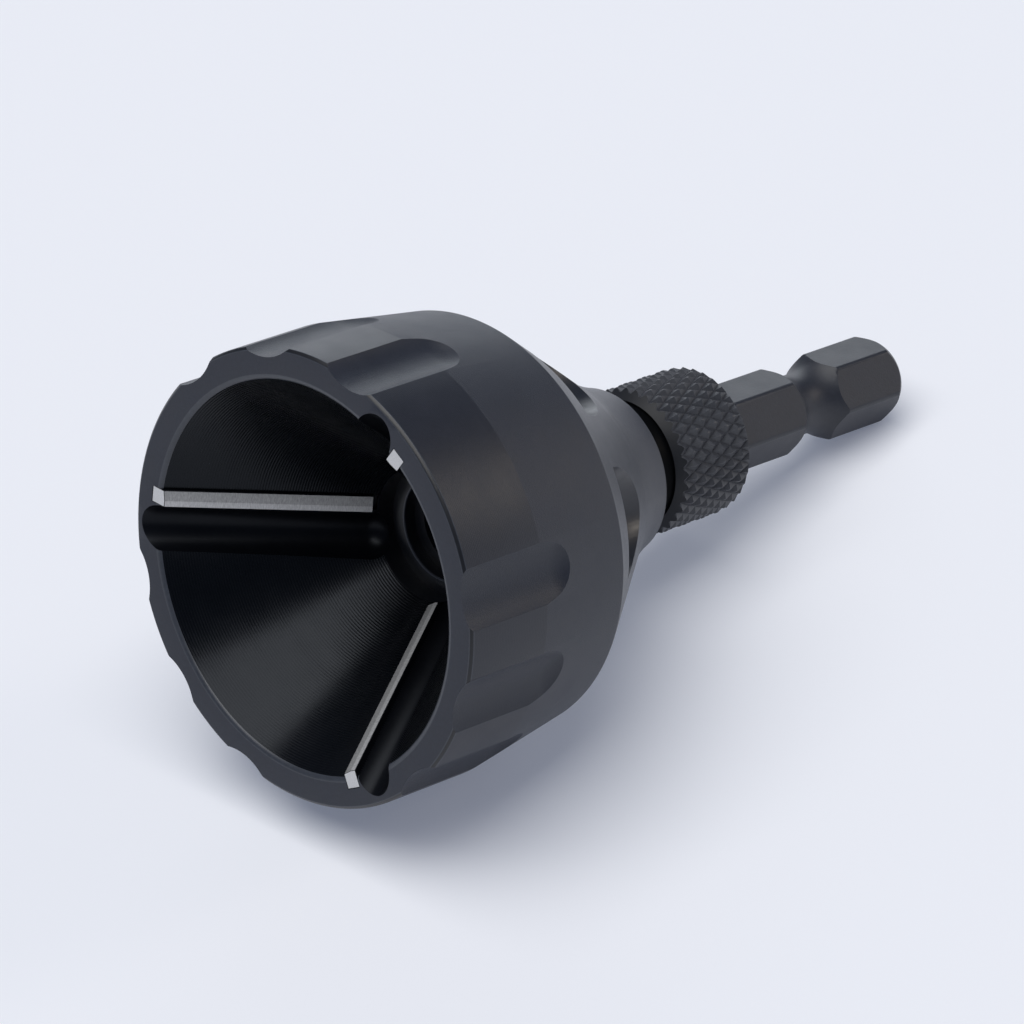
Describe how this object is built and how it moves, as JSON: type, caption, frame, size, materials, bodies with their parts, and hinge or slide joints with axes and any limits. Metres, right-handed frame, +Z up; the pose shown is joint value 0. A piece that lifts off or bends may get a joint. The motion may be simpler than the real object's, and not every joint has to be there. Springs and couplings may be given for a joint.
{
  "type": "deburring chamfer tool",
  "caption": "Cup-shaped external chamfering tool with a conical mouth, brazed cutting strips, a knurled lock collar and a quarter-inch hex shank.",
  "frame": {"origin": "centre of the bounding box, on the floor that the tool lies on", "axes": "+Z up; +X level, towards the shank's end; the tool's own axis dips 15.9 degrees from +X towards the floor"},
  "size_m": [0.0684, 0.036, 0.038],
  "materials": {
    "black_body": "blackened, satin, bead-blasted outside and fine-turned inside",
    "carbide": "ground",
    "black_collar": "blackened diamond knurl",
    "black_shank": "phosphated, matte"
  },
  "bodies": {
    "cutter": {"cutter_body": "black_body", "blade_1": "carbide", "blade_2": "carbide", "blade_3": "carbide", "hex_shank": "black_shank"},
    "collar": {"lock_collar": "black_collar"}
  },
  "joints": [
    {"name": "collar_travel", "type": "slide", "parent": "cutter", "child": "collar", "axis": [0.9619, 0, -0.2733], "range_m": [0, 0.0018]}
  ]
}
